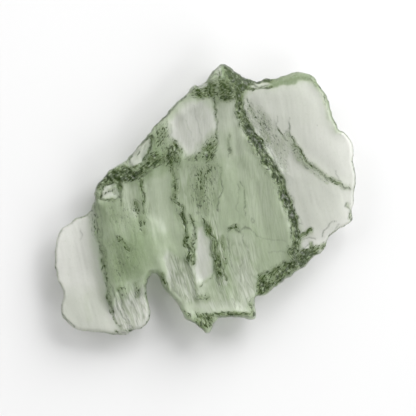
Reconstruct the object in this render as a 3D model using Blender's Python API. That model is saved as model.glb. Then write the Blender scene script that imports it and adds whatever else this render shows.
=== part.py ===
"""A moldavite flake: one thin shard of etched natural glass, lying on its flattest side.

The plan is drawn on a sheet in millimetres, x to the right and y down the sheet. The shard is a
thin plate with a thicker body across its middle, raised crumbled ridges, thin windows and fluted
grooves that run down the sheet. Frame: metres, +Z up, origin under the middle of the shard.
"""

import bmesh
import bpy
import numpy as np
from mathutils import Vector
from mathutils.geometry import delaunay_2d_cdt

MM = 0.001

# Driving dimensions, in millimetres
PLATE_THICKNESS = 1.0
BODY_THICKNESS = 3.0
RIM_EDGE = 0.3
RIM_WIDTH = 0.4
BODY_EDGE = 0.9
THINNEST = 0.6
REST_LIFT = 0.9
RELIEF = 0.45
HOLLOWS_BELOW = 0.5
LATTICE_STEP = 0.27
TRIANGLES = 7600

GLASS_COLOUR = (0.62, 0.70, 0.53, 1.0)
GLASS_ROUGHNESS = 0.28
GLASS_IOR = 1.49

# The outline, clockwise on the sheet, from the shoulder above the left lobe
OUTLINE = (
    (9.45, 20.0), (9.2, 20.6), (8.9, 21.2), (8.5, 21.6), (7.6, 21.9), (6.9, 22.45), (6.2, 22.9),
    (5.8, 23.7), (5.57, 24.9), (5.55, 26.3), (5.8, 28.0), (6.4, 29.4), (6.2, 30.6), (6.2, 31.4),
    (6.8, 32.3), (7.5, 32.8), (9.0, 33.1), (11.0, 33.35), (12.6, 33.4), (13.3, 33.1),
    (14.35, 32.7), (14.95, 31.8), (14.95, 30.6), (14.62, 28.9), (14.8, 28.05), (15.45, 27.35),
    (16.1, 28.3), (16.6, 29.2), (17.5, 30.0), (18.1, 31.05), (18.5, 31.85), (19.2, 32.2),
    (20.1, 32.9), (20.7, 33.28), (21.15, 32.9), (21.5, 32.05), (22.3, 31.75), (24.0, 31.75),
    (25.4, 31.85), (25.45, 30.6), (25.58, 29.75), (26.5, 29.5), (27.4, 28.85), (28.15, 28.35),
    (28.6, 27.85), (29.15, 27.65), (29.6, 27.2), (30.6, 26.6), (31.05, 25.95), (31.9, 25.4),
    (32.5, 24.75), (32.7, 23.95), (33.6, 23.1), (34.5, 22.65), (35.1, 22.0), (35.15, 21.1),
    (35.33, 20.2), (35.27, 19.5), (35.5, 17.9), (35.3, 16.8), (35.17, 16.2), (35.3, 15.4),
    (35.0, 14.1), (34.3, 13.35), (33.65, 12.75), (33.3, 11.9), (32.9, 10.8), (32.7, 9.9),
    (32.2, 9.1), (31.7, 8.4), (31.2, 7.7), (30.3, 7.35), (29.3, 7.33), (28.2, 7.7), (27.4, 7.95),
    (26.5, 7.98), (25.8, 8.24), (25.1, 8.1), (24.4, 7.85), (23.6, 7.25), (22.8, 6.68),
    (22.2, 6.5), (21.6, 6.8), (21.0, 7.55), (20.7, 8.15), (19.9, 8.62), (19.3, 8.68),
    (18.7, 9.3), (17.8, 10.1), (16.9, 11.1), (16.0, 12.1), (15.4, 12.6), (14.9, 13.45),
    (13.9, 14.5), (13.0, 15.65), (12.3, 16.3), (11.0, 17.05), (10.3, 17.85), (9.65, 18.55),
    (9.47, 19.2),
)

BODY = (
    (23.0, 5.5), (23.9, 8.6), (24.1, 10.4), (24.4, 11.9), (25.0, 13.1), (25.8, 14.1),
    (26.5, 15.2), (27.3, 16.3), (28.0, 17.4), (28.2, 18.6), (28.6, 20.0), (29.2, 21.3),
    (29.6, 22.6), (29.8, 24.4), (30.2, 26.0), (31.0, 27.5), (27.0, 31.5), (21.5, 35.0),
    (16.5, 31.0), (15.6, 27.9), (14.6, 28.6), (13.4, 29.0), (12.2, 29.7), (11.4, 30.4),
    (10.9, 29.6), (10.5, 27.6), (10.1, 25.4), (9.8, 23.2), (9.6, 21.2), (7.5, 19.0),
    (12.0, 13.0), (20.0, 5.5),
)

# Raised areas and hollows: rise in millimetres, width of the edge, corners
AREAS = (
    # The upper left window, its two palest panes, and the thinner ground above it
    (-1.25, 0.7, ((17.0, 12.4), (17.6, 11.4), (18.6, 10.4), (20.0, 10.0), (21.0, 10.6),
                  (21.6, 11.6), (21.7, 13.4), (21.5, 15.0), (20.4, 15.2), (19.8, 15.9),
                  (18.8, 15.8), (18.0, 15.0), (17.3, 14.0))),
    (-0.45, 0.5, ((17.6, 12.0), (18.6, 11.8), (19.0, 13.4), (18.6, 14.4), (17.8, 14.0))),
    (-0.45, 0.4, ((19.9, 11.6), (21.3, 11.8), (21.4, 14.4), (20.4, 14.0))),
    (-0.6, 0.9, ((20.6, 9.8), (23.6, 10.4), (23.8, 12.2), (22.4, 13.2), (21.4, 12.4))),
    # Two small windows beside the upper left edge
    (-1.6, 0.4, ((13.1, 15.9), (13.4, 15.2), (14.4, 14.3), (15.0, 14.1), (14.9, 14.9),
                 (14.3, 16.1), (13.2, 16.6), (12.8, 16.4))),
    (-1.4, 0.4, ((10.2, 19.8), (10.3, 18.7), (11.2, 18.3), (11.8, 18.8), (11.8, 19.7))),
    # The panes of the middle
    (-0.5, 0.5, ((12.3, 18.5), (13.8, 18.6), (14.0, 20.4), (13.8, 21.6), (13.2, 21.2),
                 (12.3, 20.0))),
    (-0.4, 0.6, ((14.7, 18.6), (16.4, 17.4), (17.0, 17.2), (17.1, 20.0), (17.6, 22.4),
                 (16.6, 23.2), (14.9, 21.4))),
    (-0.3, 0.8, ((22.4, 16.4), (25.6, 16.0), (27.2, 19.0), (27.6, 22.0), (25.0, 22.6),
                 (24.6, 18.6))),
    # The narrow window below the middle
    (-1.5, 0.4, ((19.5, 22.8), (20.3, 22.6), (20.9, 23.8), (21.2, 25.4), (21.4, 27.4),
                 (20.6, 28.2), (19.9, 28.0), (19.5, 26.4))),
    # The lens beside the notch
    (-0.9, 0.4, ((16.2, 25.8), (16.9, 25.0), (17.3, 25.6), (17.5, 27.0), (17.9, 28.4),
                 (17.2, 28.6), (16.6, 27.4))),
    # The lower tongue, with its arch and its pane
    (-0.75, 1.2, ((16.0, 27.6), (17.8, 26.2), (19.4, 26.0), (21.4, 28.0), (22.6, 30.0),
                  (24.0, 26.0), (25.6, 26.6), (25.8, 32.4), (20.6, 34.0), (17.0, 31.0))),
    (-0.8, 0.5, ((23.0, 23.4), (24.4, 23.0), (25.6, 24.2), (26.0, 26.0), (24.4, 26.0),
                 (23.2, 25.6))),
    (-0.8, 0.5, ((23.8, 26.0), (24.8, 25.8), (25.4, 27.4), (25.5, 29.6), (24.6, 30.0),
                 (24.0, 28.4))),
    # The left foot
    (0.7, 0.8, ((11.0, 29.6), (13.2, 28.8), (15.4, 28.2), (15.8, 33.6), (12.6, 34.0), (11.6, 32.4))),
    # The thick ground left of the middle
    (0.85, 1.3, ((9.8, 20.2), (11.8, 20.6), (12.8, 22.4), (15.4, 22.6), (15.9, 25.0),
                 (14.8, 27.6), (12.0, 28.6), (10.8, 27.0), (10.2, 24.0))),
    (0.7, 1.4, ((12.0, 23.6), (13.6, 23.0), (15.6, 23.4), (15.6, 25.6), (14.6, 27.6), (12.6, 28.4),
                (12.0, 27.0))),
    # The right wing: its upper step, its thinnest corner and its lower half
    (0.3, 0.35, ((24.6, 8.4), (31.0, 6.5), (36.5, 12.0), (36.5, 19.4), (34.4, 18.6), (32.8, 17.7),
                 (31.4, 16.6), (30.1, 15.8), (29.3, 14.4), (28.7, 13.2), (26.8, 12.4))),
    (-0.3, 1.0, ((29.8, 12.6), (33.6, 12.8), (35.2, 14.4), (35.2, 17.4), (33.6, 17.2),
                 (31.0, 15.2))),
    (0.3, 0.9, ((28.6, 17.4), (31.4, 17.2), (34.2, 19.2), (34.4, 21.6), (31.2, 23.6),
                (29.6, 20.6))),
    # The left lobe, thicker along its right side
    (0.4, 0.9, ((8.2, 22.6), (9.6, 21.4), (10.2, 27.0), (10.8, 33.2), (8.4, 32.8))),
)

# Ridges and grooves: rise in millimetres, half width, points along the crest
STROKES = (
    # The crumbled ridge along the upper left
    (1.2, 0.7, ((10.6, 17.6), (12.0, 17.3), (13.4, 17.4), (14.7, 16.8), (15.6, 15.8),
                (17.0, 15.6), (18.0, 16.0))),
    (0.9, 0.45, ((15.3, 13.8), (15.4, 14.8), (15.8, 16.0))),
    (0.9, 0.45, ((19.6, 16.0), (20.6, 15.7), (21.5, 15.1))),
    # The summit and the thick upper edge right of it
    (1.1, 0.7, ((22.4, 7.2), (22.9, 8.4), (24.2, 8.8))),
    (1.1, 0.4, ((24.0, 8.5), (25.2, 8.9), (26.6, 8.8))),
    (2.2, 0.5, ((27.2, 8.7), (28.4, 8.3), (29.6, 8.0), (30.8, 7.9), (31.5, 8.4))),
    (1.9, 0.3, ((31.5, 8.6), (32.1, 9.6), (32.5, 10.9), (33.0, 12.2), (33.6, 13.2))),
    # The crest along the body's right ledge
    (0.7, 0.45, ((23.9, 9.6), (24.3, 11.6), (24.9, 12.9), (25.7, 14.2), (26.6, 15.6),
                 (27.5, 17.2), (27.9, 18.6), (28.3, 19.8))),
    (0.6, 0.4, ((28.8, 21.2), (29.3, 22.6), (29.4, 24.2), (29.0, 25.6))),
    # The broken step in the right wing
    (0.7, 0.25, ((28.8, 13.4), (29.3, 14.3), (29.7, 15.2), (30.3, 16.0), (31.2, 16.5),
                 (32.2, 17.5), (33.4, 18.0), (34.5, 18.7))),
    (0.35, 0.2, ((28.0, 13.6), (28.9, 14.7), (29.7, 15.9), (30.7, 16.8))),
    # The lower right rim and its ring
    (1.0, 0.7, ((26.2, 28.4), (27.4, 27.8), (28.6, 27.0), (29.6, 26.3), (30.6, 25.9))),
    (0.8, 0.35, ((30.9, 25.4), (31.2, 24.8), (32.2, 24.8))),
    (0.8, 0.3, ((29.8, 24.0), (30.4, 23.4), (31.0, 23.1))),
    # The crest along the left ledge
    (0.55, 0.4, ((9.9, 20.8), (10.0, 22.4), (10.2, 24.4), (10.7, 26.2), (10.9, 28.2),
                 (11.1, 29.8), (11.7, 31.6))),
    (0.4, 0.2, ((8.8, 30.2), (8.9, 31.8))),
    # The columns beside the narrow window
    (1.0, 0.35, ((18.5, 21.2), (18.7, 23.0), (18.9, 24.4), (19.0, 25.8))),
    (0.9, 0.3, ((20.6, 22.2), (21.2, 23.8), (21.7, 25.6), (22.0, 27.2))),
    (0.5, 0.3, ((22.5, 25.0), (22.6, 27.4), (22.6, 29.8))),
    # Flutes of the middle
    (0.5, 0.25, ((14.1, 18.2), (14.3, 20.2), (14.4, 21.8))),
    (0.5, 0.3, ((17.2, 17.6), (17.5, 19.4), (17.8, 20.8))),
    (0.5, 0.5, ((13.9, 22.4), (14.4, 23.6))),
    (0.4, 0.25, ((22.2, 16.6), (22.1, 18.4), (21.9, 20.6))),
    (0.3, 0.3, ((22.8, 13.6), (22.9, 15.2))),
    (0.3, 0.2, ((24.2, 19.0), (24.4, 21.4))),
    (-0.35, 0.35, ((12.0, 22.0), (12.9, 24.0))),
    (-0.4, 0.25, ((21.5, 11.8), (21.6, 15.6))),
    # The tongue's flutes
    (0.5, 0.22, ((18.0, 26.2), (18.8, 28.6))),
    (0.5, 0.2, ((18.8, 26.0), (19.4, 28.4), (20.0, 30.0))),
    (0.4, 0.2, ((16.4, 27.0), (17.2, 29.0))),
    (-0.3, 0.2, ((18.4, 26.4), (19.0, 28.6), (19.4, 30.2))),
    (0.5, 0.3, ((19.8, 29.8), (20.8, 29.6))),
    (0.3, 0.2, ((23.0, 29.8), (23.3, 30.8))),
    # The foot's flutes
    (0.6, 0.22, ((12.0, 29.0), (12.6, 30.6), (13.2, 32.2))),
    (0.6, 0.3, ((12.3, 28.8), (12.6, 29.6))),
    (0.5, 0.22, ((13.7, 28.4), (13.9, 29.8))),
    (-0.3, 0.2, ((11.6, 28.6), (12.1, 30.2), (12.8, 32.0))),
    # The tip and the lower edge
    (1.0, 0.6, ((19.8, 31.9), (20.4, 32.3), (21.0, 31.9))),
    (0.8, 0.35, ((21.8, 31.4), (23.6, 31.3), (25.0, 31.3), (25.1, 30.4))),
    (0.6, 0.3, ((18.4, 31.3), (19.0, 31.6))),
)

# The underside: how far each part of the shard lifts off the ground, in millimetres
LIFTS = (
    (1.9, ((2.0, 18.0), (7.4, 20.0), (8.4, 27.0), (13.0, 32.0), (13.0, 37.0), (2.0, 37.0))),
    (1.9, ((28.6, 3.0), (40.0, 3.0), (40.0, 26.0), (33.4, 24.4), (31.8, 15.0))),
    (1.2, ((16.0, 2.0), (28.6, 2.0), (27.4, 8.2), (19.0, 9.8))),
    (1.3, ((17.0, 30.8), (27.4, 30.0), (27.4, 37.0), (15.0, 37.0))),
    (0.8, ((5.0, 18.4), (14.4, 9.4), (15.4, 12.4), (10.6, 17.6))),
)
LIFT_EDGE = 6.5

# The flat facet that the shard rests on
REST_FACET = (
    (14.2, 22.6), (15.6, 18.8), (20.2, 16.2), (25.0, 17.0), (26.6, 20.4), (26.0, 24.2), (23.6, 26.0),
    (20.6, 25.4), (17.4, 24.6), (15.4, 25.4),
)
FACET_EDGE = 2.0

# The flutes, which run down the sheet and lean to the right: their size in millimetres
FLUTE_TILT = np.radians(12)
FLUTE_WIDTH = 0.8
FLUTE_LENGTH = 4.0
PLATE_FLUTES = 0.05
BODY_FLUTES = 0.07
UNEVENNESS = 0.08
UNDERSIDE_WAVES = 0.10

# How far the drawn edges wander, and over what distance, in millimetres
WANDER = 0.2
WANDER_LENGTH = 0.9


def noise(u, v, seed):
    """Smooth noise from -1 to 1, with one cell for each unit of u and v."""
    table = np.random.default_rng(seed).uniform(-1, 1, (64, 64))
    column, row = np.floor(u).astype(int), np.floor(v).astype(int)
    su, sv = u - column, v - row
    su, sv = su * su * (3 - 2 * su), sv * sv * (3 - 2 * sv)
    corner = [[table[(column + i) % 64, (row + j) % 64] for j in (0, 1)] for i in (0, 1)]
    near = corner[0][0] * (1 - sv) + corner[0][1] * sv
    far = corner[1][0] * (1 - sv) + corner[1][1] * sv
    return near * (1 - su) + far * su


def smooth(t):
    """A smooth step from 0 to 1."""
    t = np.clip(t, 0, 1)
    return t * t * (3 - 2 * t)


def line_distance(x, y, points, closed=False):
    """How far each place is from a line through the points."""
    ends = list(zip(points, points[1:] + points[:1] if closed else points[1:]))
    nearest = np.full_like(x, 1e9)
    for (ax, ay), (bx, by) in ends:
        dx, dy = bx - ax, by - ay
        along = np.clip(((x - ax) * dx + (y - ay) * dy) / (dx * dx + dy * dy), 0, 1)
        nearest = np.minimum(nearest, np.hypot(x - ax - along * dx, y - ay - along * dy))
    return nearest


def inside(x, y, corners):
    """True where a place lies inside the polygon."""
    found = np.zeros(x.shape, bool)
    for (ax, ay), (bx, by) in zip(corners, corners[1:] + corners[:1]):
        if ay != by:
            found ^= ((ay > y) != (by > y)) & (x < ax + (y - ay) * (bx - ax) / (by - ay))
    return found


def area(x, y, corners, edge):
    """1 well inside the polygon, 0 well outside, and a smooth slope as wide as edge between."""
    away = line_distance(x, y, corners, closed=True)
    away = np.where(inside(x, y, corners), away, -away)
    return smooth(away / edge + 0.5)


def ridge(x, y, points, half_width):
    """A rounded crest along the points, from 0 to 1."""
    return np.exp(-((line_distance(x, y, points) / half_width) ** 2))


def flutes(x, y, width, length, seed):
    """Long shallow waves that run down the sheet, leaning to the right."""
    bend = 0.6 * noise(x / 5, y / 5, seed + 1)
    across = x * np.cos(FLUTE_TILT) - y * np.sin(FLUTE_TILT) + bend
    along = x * np.sin(FLUTE_TILT) + y * np.cos(FLUTE_TILT)
    return noise(across / width, along / length, seed)


def warped(x, y):
    """The same places, shifted a little, which makes drawn edges ragged."""
    moved_x = x + WANDER * noise(x / WANDER_LENGTH, y / WANDER_LENGTH, 11)
    moved_y = y + WANDER * noise(x / WANDER_LENGTH, y / WANDER_LENGTH, 12)
    return moved_x, moved_y


def hollows(x, y):
    """How much the windows and panes take off the thickness, in millimetres."""
    wx, wy = warped(x, y)
    return sum(-rise * area(wx, wy, corners, edge) for rise, edge, corners in AREAS if rise < 0)


def thickness(x, y):
    """The shard's thickness away from its rim, in millimetres."""
    wx, wy = warped(x, y)
    body = area(wx, wy, BODY, BODY_EDGE)
    made = PLATE_THICKNESS + (BODY_THICKNESS - PLATE_THICKNESS) * body
    made -= hollows(x, y)
    for rise, edge, corners in AREAS:
        if rise > 0:
            made += rise * area(wx, wy, corners, edge)
    for rise, half_width, points in STROKES:
        made += rise * RELIEF * ridge(wx, wy, points, half_width)
    made += (PLATE_FLUTES + BODY_FLUTES * body) * flutes(x, y, FLUTE_WIDTH, FLUTE_LENGTH, 21)
    made += UNEVENNESS * noise(x / 1.3, y / 1.3, 31)
    return np.maximum(made, THINNEST)


def underside(x, y):
    """The height of the underside. It is flat at 0 where the shard rests."""
    lift = sum(rise * area(x, y, corners, LIFT_EDGE) for rise, corners in LIFTS)
    waves = 1 + flutes(x, y, 2 * FLUTE_WIDTH, FLUTE_LENGTH, 41) + noise(x / 3, y / 3, 51)
    free = 1 - area(x, y, REST_FACET, FACET_EDGE)
    return np.maximum(lift + UNDERSIDE_WAVES * waves, 0) * free + HOLLOWS_BELOW * hollows(x, y)


def rim(x, y, outline):
    """The share of the full thickness that each place has: it falls off round the edge."""
    away = line_distance(x, y, outline, closed=True)
    width = RIM_WIDTH * (1.4 + 0.6 * noise(x / 2.2, y / 2.2, 61))
    inward = np.clip(away / width, 0, 1)
    return np.sqrt(1 - (1 - inward) ** 2)


def outline_points():
    """The outline as points close together, on a smooth curve through OUTLINE."""
    curve = bpy.data.curves.new("outline", "CURVE")
    curve.resolution_u = 4
    spline = curve.splines.new("BEZIER")
    spline.bezier_points.add(len(OUTLINE) - 1)
    spline.use_cyclic_u = True
    for point, place in zip(spline.bezier_points, OUTLINE):
        point.co = (*place, 0)
        point.handle_left_type = point.handle_right_type = "AUTO"
    guide = bpy.data.objects.new("outline", curve)
    points = [(v.co.x, v.co.y) for v in guide.to_mesh().vertices]
    bpy.data.objects.remove(guide)
    bpy.data.curves.remove(curve)
    return points


def lattice(outline):
    """Places on a triangular lattice inside the outline, clear of its edge."""
    corners = np.array(outline)
    low, high = corners.min(0), corners.max(0)
    rows = np.arange(low[1], high[1], LATTICE_STEP * np.sqrt(0.75))
    columns = np.arange(low[0], high[0], LATTICE_STEP)
    x, y = np.meshgrid(columns, rows)
    x = (x + np.where(np.arange(len(rows)) % 2, LATTICE_STEP / 2, 0)[:, None]).ravel()
    y = y.ravel()
    kept = inside(x, y, outline) & (line_distance(x, y, outline, closed=True) > LATTICE_STEP / 2)
    return list(zip(x[kept], y[kept]))


def flat_sheet(outline):
    """The outline filled with small triangles, as a bmesh at height 0."""
    places = [Vector(p) for p in outline + lattice(outline)]
    rim_edges = [(i, (i + 1) % len(outline)) for i in range(len(outline))]
    filled = delaunay_2d_cdt(places, rim_edges, [], 1, 1e-6, False)
    corners = np.array(filled[0])
    faces = np.array(filled[2])
    x, y = corners[faces].mean(1).T
    faces = faces[inside(x, y, outline)]
    sheet = bpy.data.meshes.new("sheet")
    sheet.from_pydata([(*p, 0) for p in filled[0]], [], faces.tolist())
    work = bmesh.new()
    work.from_mesh(sheet)
    bpy.data.meshes.remove(sheet)
    return work


def shape_shard(work, outline):
    """Gives the doubled sheet its underside and its top."""
    work.verts.ensure_lookup_table()
    x, y, level = np.array([v.co for v in work.verts]).T
    share = rim(x, y, outline)
    low = underside(x, y)
    full = thickness(x, y)
    thick = RIM_EDGE + (full - RIM_EDGE) * share
    low = low + REST_LIFT * np.minimum(full / BODY_THICKNESS, 1) * (1 - share) * 0.5
    height = np.where(level > 0.5, low + thick, low)
    middle_x, middle_y = (x.min() + x.max()) / 2, (y.min() + y.max()) / 2
    for vertex, vx, vy, vz in zip(work.verts, x - middle_x, middle_y - y, height):
        vertex.co = Vector((vx, vy, vz)) * MM


def glass():
    """Pale green see-through glass with an etched skin."""
    material = bpy.data.materials.new("moldavite_glass")
    material.use_nodes = True
    shader = material.node_tree.nodes["Principled BSDF"]
    shader.inputs["Base Color"].default_value = GLASS_COLOUR
    shader.inputs["Roughness"].default_value = GLASS_ROUGHNESS
    shader.inputs["Metallic"].default_value = 0.0
    shader.inputs["IOR"].default_value = GLASS_IOR
    shader.inputs["Transmission Weight"].default_value = 1.0
    return material


def moldavite(collection):
    """The shard, as one closed solid."""
    outline = outline_points()
    work = flat_sheet(outline)
    doubled = bmesh.ops.extrude_face_region(work, geom=work.faces[:])
    top = [v for v in doubled["geom"] if isinstance(v, bmesh.types.BMVert)]
    bmesh.ops.translate(work, vec=(0, 0, 1), verts=top)
    shape_shard(work, outline)
    bmesh.ops.recalc_face_normals(work, faces=work.faces[:])
    if work.calc_volume(signed=True) < 0:
        bmesh.ops.reverse_faces(work, faces=work.faces[:])
    triangles = len(bmesh.ops.triangulate(work, faces=work.faces[:])["faces"])
    mesh = bpy.data.meshes.new("moldavite")
    work.to_mesh(mesh)
    work.free()
    mesh.shade_smooth()
    mesh.set_sharp_from_angle(angle=np.radians(40))
    mesh.materials.append(glass())
    shard = bpy.data.objects.new("moldavite", mesh)
    collection.objects.link(shard)
    fewer = shard.modifiers.new("fewer_faces", "DECIMATE")
    fewer.ratio = min(1, TRIANGLES / triangles)
    return shard


def main():
    for thing in list(bpy.data.objects):
        bpy.data.objects.remove(thing)
    collection = bpy.data.collections.new("moldavite_flake")
    bpy.context.scene.collection.children.link(collection)
    moldavite(collection)


main()
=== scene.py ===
"""A moldavite shard on a pale floor, seen from straight above in soft light.

The shard is one closed mesh. Its plan is drawn on a sheet in millimetres, x to the right and y
down the sheet, and the sheet is then laid on the floor with its upper edge towards +Y.
"""

import bpy
import numpy as np
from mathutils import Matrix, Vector
from mathutils.geometry import delaunay_2d_cdt


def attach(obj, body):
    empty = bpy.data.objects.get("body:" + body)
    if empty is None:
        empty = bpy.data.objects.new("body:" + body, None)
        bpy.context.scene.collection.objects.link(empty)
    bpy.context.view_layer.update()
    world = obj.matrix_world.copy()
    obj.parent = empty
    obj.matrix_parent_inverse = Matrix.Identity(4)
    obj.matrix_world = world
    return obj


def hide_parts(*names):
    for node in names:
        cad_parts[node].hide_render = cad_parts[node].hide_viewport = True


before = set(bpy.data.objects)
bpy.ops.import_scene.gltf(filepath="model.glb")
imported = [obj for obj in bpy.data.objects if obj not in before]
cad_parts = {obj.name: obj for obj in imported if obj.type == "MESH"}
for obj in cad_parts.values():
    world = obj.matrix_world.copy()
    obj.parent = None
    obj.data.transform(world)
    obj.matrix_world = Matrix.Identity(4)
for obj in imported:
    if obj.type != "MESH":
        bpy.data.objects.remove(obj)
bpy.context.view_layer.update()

MM = 0.001

# Driving dimensions, in millimetres. UNDERCUT is how far the rim's lower edge rises, and the steps
# at the end are those of the mesh.
PLATE_THICKNESS = 1.0
BODY_THICKNESS = 3.0
RIM_EDGE = 0.3
RIM_WIDTH = 0.28
BODY_EDGE = 0.9
THINNEST = 0.6
UNDERCUT = 0.45
TOP_STEP = 0.105
UNDERSIDE_STEP = 0.17

# The outline, clockwise on the sheet, from the shoulder above the left lobe
OUTLINE = (
    (9.45, 20), (9.2, 20.6), (8.9, 21.2), (8.5, 21.6), (7.6, 21.9), (6.9, 22.45), (6.2, 22.9), (5.8, 23.7),
    (5.57, 24.9), (5.55, 26.3), (5.8, 28), (6.4, 29.4), (6.2, 30.6), (6.2, 31.4), (6.8, 32.3), (7.5, 32.8),
    (9, 33.1), (11, 33.35), (12.6, 33.4), (13.3, 33.1), (14.35, 32.7), (14.95, 31.8), (14.95, 30.6),
    (14.62, 28.9), (14.8, 28.05), (15.45, 27.35), (16.1, 28.3), (16.6, 29.2), (17.5, 30), (18.1, 31.05),
    (18.5, 31.85), (19.2, 32.2), (20.1, 32.9), (20.7, 33.28), (21.15, 32.9), (21.5, 32.05), (22.3, 31.75),
    (24, 31.75), (25.4, 31.85), (25.45, 30.6), (25.58, 29.75), (26.5, 29.5), (27.4, 28.85), (28.15, 28.35),
    (28.6, 27.85), (29.15, 27.65), (29.6, 27.2), (30.6, 26.6), (31.05, 25.95), (31.9, 25.4), (32.5, 24.75),
    (32.7, 23.95), (33.6, 23.1), (34.5, 22.65), (35.1, 22), (35.15, 21.1), (35.33, 20.2), (35.27, 19.5),
    (35.5, 17.9), (35.3, 16.8), (35.17, 16.2), (35.3, 15.4), (35, 14.1), (34.3, 13.35), (33.65, 12.75),
    (33.3, 11.9), (32.9, 10.8), (32.7, 9.9), (32.2, 9.1), (31.7, 8.4), (31.2, 7.7), (30.3, 7.35),
    (29.3, 7.33), (28.2, 7.7), (27.4, 7.95), (26.5, 7.98), (25.8, 8.24), (25.1, 8.1), (24.4, 7.85),
    (23.6, 7.25), (22.8, 6.68), (22.2, 6.5), (21.6, 6.8), (21, 7.55), (20.7, 8.15), (19.9, 8.62),
    (19.3, 8.68), (18.7, 9.3), (17.8, 10.1), (16.9, 11.1), (16, 12.1), (15.4, 12.6), (14.9, 13.45),
    (13.9, 14.5), (13, 15.65), (12.3, 16.3), (11, 17.05), (10.3, 17.85), (9.65, 18.55), (9.47, 19.2),
)

# The thick green body. Some corners lie outside the outline.
BODY = (
    (23, 5.5), (23.9, 8.6), (24.1, 10.4), (24.4, 11.9), (25, 13.1), (25.8, 14.1), (26.5, 15.2),
    (27.3, 16.3), (28, 17.4), (28.2, 18.6), (28.6, 20), (29.2, 21.3), (29.6, 22.6), (29.8, 24.4),
    (30.2, 26), (31, 27.5), (27, 31.5), (21.5, 35), (16.5, 31), (15.6, 27.9), (14.6, 28.6), (13.4, 29),
    (12.2, 29.7), (11.4, 30.4), (10.9, 29.6), (10.5, 27.6), (10.1, 25.4), (9.8, 23.2), (9.6, 21.2),
    (7.5, 19), (12, 13), (20, 5.5),
)

# Raised areas and hollows: rise in millimetres, width of the edge, corners
AREAS = (
    # The upper left window, its two palest panes, and the thinner ground above it
    (-1.1, 1.2, ((16.8, 12.6), (17.4, 11.6), (18.4, 10.6), (19.6, 10.1), (20.8, 10.4), (21.4, 11.2),
        (21.5, 13.2), (21.3, 14.8), (20.4, 15.4), (19.6, 15.8), (18.6, 15.6), (17.8, 14.8), (17.1, 13.8))),
    (-0.5, 1.0, ((20.6, 9.8), (23.6, 10.4), (23.8, 12.2), (22.4, 13.2), (21.4, 12.4))),
    # The neck below the summit
    (-0.6, 1.0, ((21.6, 10.6), (23.6, 10.4), (24.6, 13.2), (25.2, 15.6), (23, 16), (21.8, 15.4))),
    # Two small windows beside the upper left edge
    (-1.2, 0.5, ((13.1, 15.9), (13.4, 15.2), (14.4, 14.3), (15, 14.1), (14.9, 14.9), (14.3, 16.1),
        (13.2, 16.6), (12.8, 16.4))),
    (-1.3, 0.5, ((10.2, 19.8), (10.3, 18.7), (11.2, 18.3), (11.8, 18.8), (11.8, 19.7))),
    # The panes of the middle
    (-0.5, 0.5, ((12.3, 18.5), (13.8, 18.6), (14, 20.4), (13.8, 21.6), (13.2, 21.2), (12.3, 20))),
    (-0.4, 0.6, ((14.7, 18.6), (16.4, 17.4), (17, 17.2), (17.1, 20), (17.6, 22.4), (16.6, 23.2),
        (14.9, 21.4))),
    (-0.3, 0.8, ((22.4, 16.4), (25.6, 16), (27.2, 19), (27.6, 22), (25, 22.6), (24.6, 18.6))),
    # The narrow window below the middle
    (-1.1, 0.5, ((19.5, 22.8), (20.3, 22.6), (20.9, 23.8), (21.2, 25.4), (21.4, 27.4), (20.6, 28.2),
        (19.9, 28), (19.5, 26.4))),
    # The lens beside the notch
    (-0.9, 0.4, ((16.2, 25.8), (16.9, 25), (17.3, 25.6), (17.5, 27), (17.9, 28.4), (17.2, 28.6),
        (16.6, 27.4))),
    # The lower tongue, with its arch and its pane
    (-0.5, 1.2, ((16, 27.6), (17.8, 26.2), (19.4, 26), (21.4, 28), (22.6, 30), (24, 26), (25.6, 26.6),
        (25.8, 32.4), (20.6, 34), (17, 31))),
    (-0.6, 0.9, ((23, 23.4), (24.4, 23), (25.6, 24.2), (26, 26), (24.4, 26), (23.2, 25.6))),
    (-0.15, 0.8, ((23.8, 26), (24.8, 25.8), (25.4, 27.4), (25.5, 29.6), (24.6, 30), (24, 28.4))),
    # The left foot
    (0.7, 0.8, ((11, 29.6), (13.2, 28.8), (15.4, 28.2), (15.8, 33.6), (12.6, 34), (11.6, 32.4))),
    # The thick ground left of the middle
    (1.1, 4.0, ((9.8, 20.2), (11.8, 20.6), (12.8, 22.4), (15.4, 22.6), (15.9, 25), (14.8, 27.6), (12, 28.6),
        (10.8, 27), (10.2, 24))),
    (0.9, 4.0, ((12, 23.6), (13.6, 23), (15.6, 23.4), (15.6, 25.6), (14.6, 27.6), (12.6, 28.4), (12, 27))),
    # The right wing: its upper step, its thinnest corner and its lower half
    (0.15, 0.35, ((24.6, 8.4), (31, 6.5), (36.5, 12), (36.5, 19.4), (34.4, 18.6), (32.8, 17.7),
        (31.4, 16.6), (30.1, 15.8), (29.3, 14.4), (28.7, 13.2), (26.8, 12.4))),
    (0.2, 1.0, ((25, 8.6), (31, 7), (36.5, 12), (36.5, 22), (31, 26), (28, 18))),
    (-0.1, 1.0, ((29.8, 12.6), (33.6, 12.8), (35.2, 14.4), (35.2, 17.4), (33.6, 17.2), (31, 15.2))),
    (0.3, 0.9, ((28.6, 17.4), (31.4, 17.2), (34.2, 19.2), (34.4, 21.6), (31.2, 23.6), (29.6, 20.6))),
)

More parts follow.
